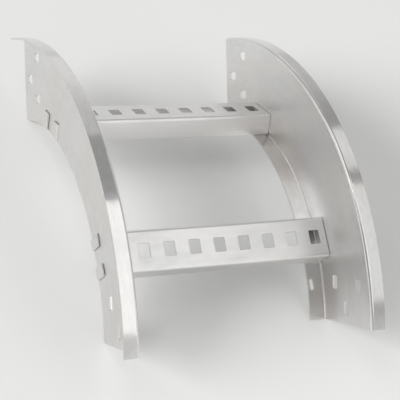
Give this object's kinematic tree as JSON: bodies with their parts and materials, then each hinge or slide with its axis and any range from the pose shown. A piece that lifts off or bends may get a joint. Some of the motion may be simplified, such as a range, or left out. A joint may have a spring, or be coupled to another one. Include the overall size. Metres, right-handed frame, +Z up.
{
  "type": "cable ladder elbow",
  "caption": "Curved cable ladder elbow of folded steel sheet: flanged side rails joined by perforated channel rungs, with slotted ends that bolt to straight ladder lengths.",
  "frame": {"origin": "on the floor, at the middle of the arch that the elbow stands as", "axes": "+X along the rungs, +Y from the front end to the rear end, +Z up through the crown"},
  "size_m": [0.34, 0.5232, 0.1862],
  "materials": {
    "rail_sheet": "bare satin sheet with faint rolling streaks",
    "rung_sheet": "bare satin sheet with faint rolling streaks"
  },
  "bodies": {
    "root": {"side_rail_left": "rail_sheet", "side_rail_right": "rail_sheet", "rung_rear": "rung_sheet", "rung_front": "rung_sheet"}
  },
  "joints": []
}
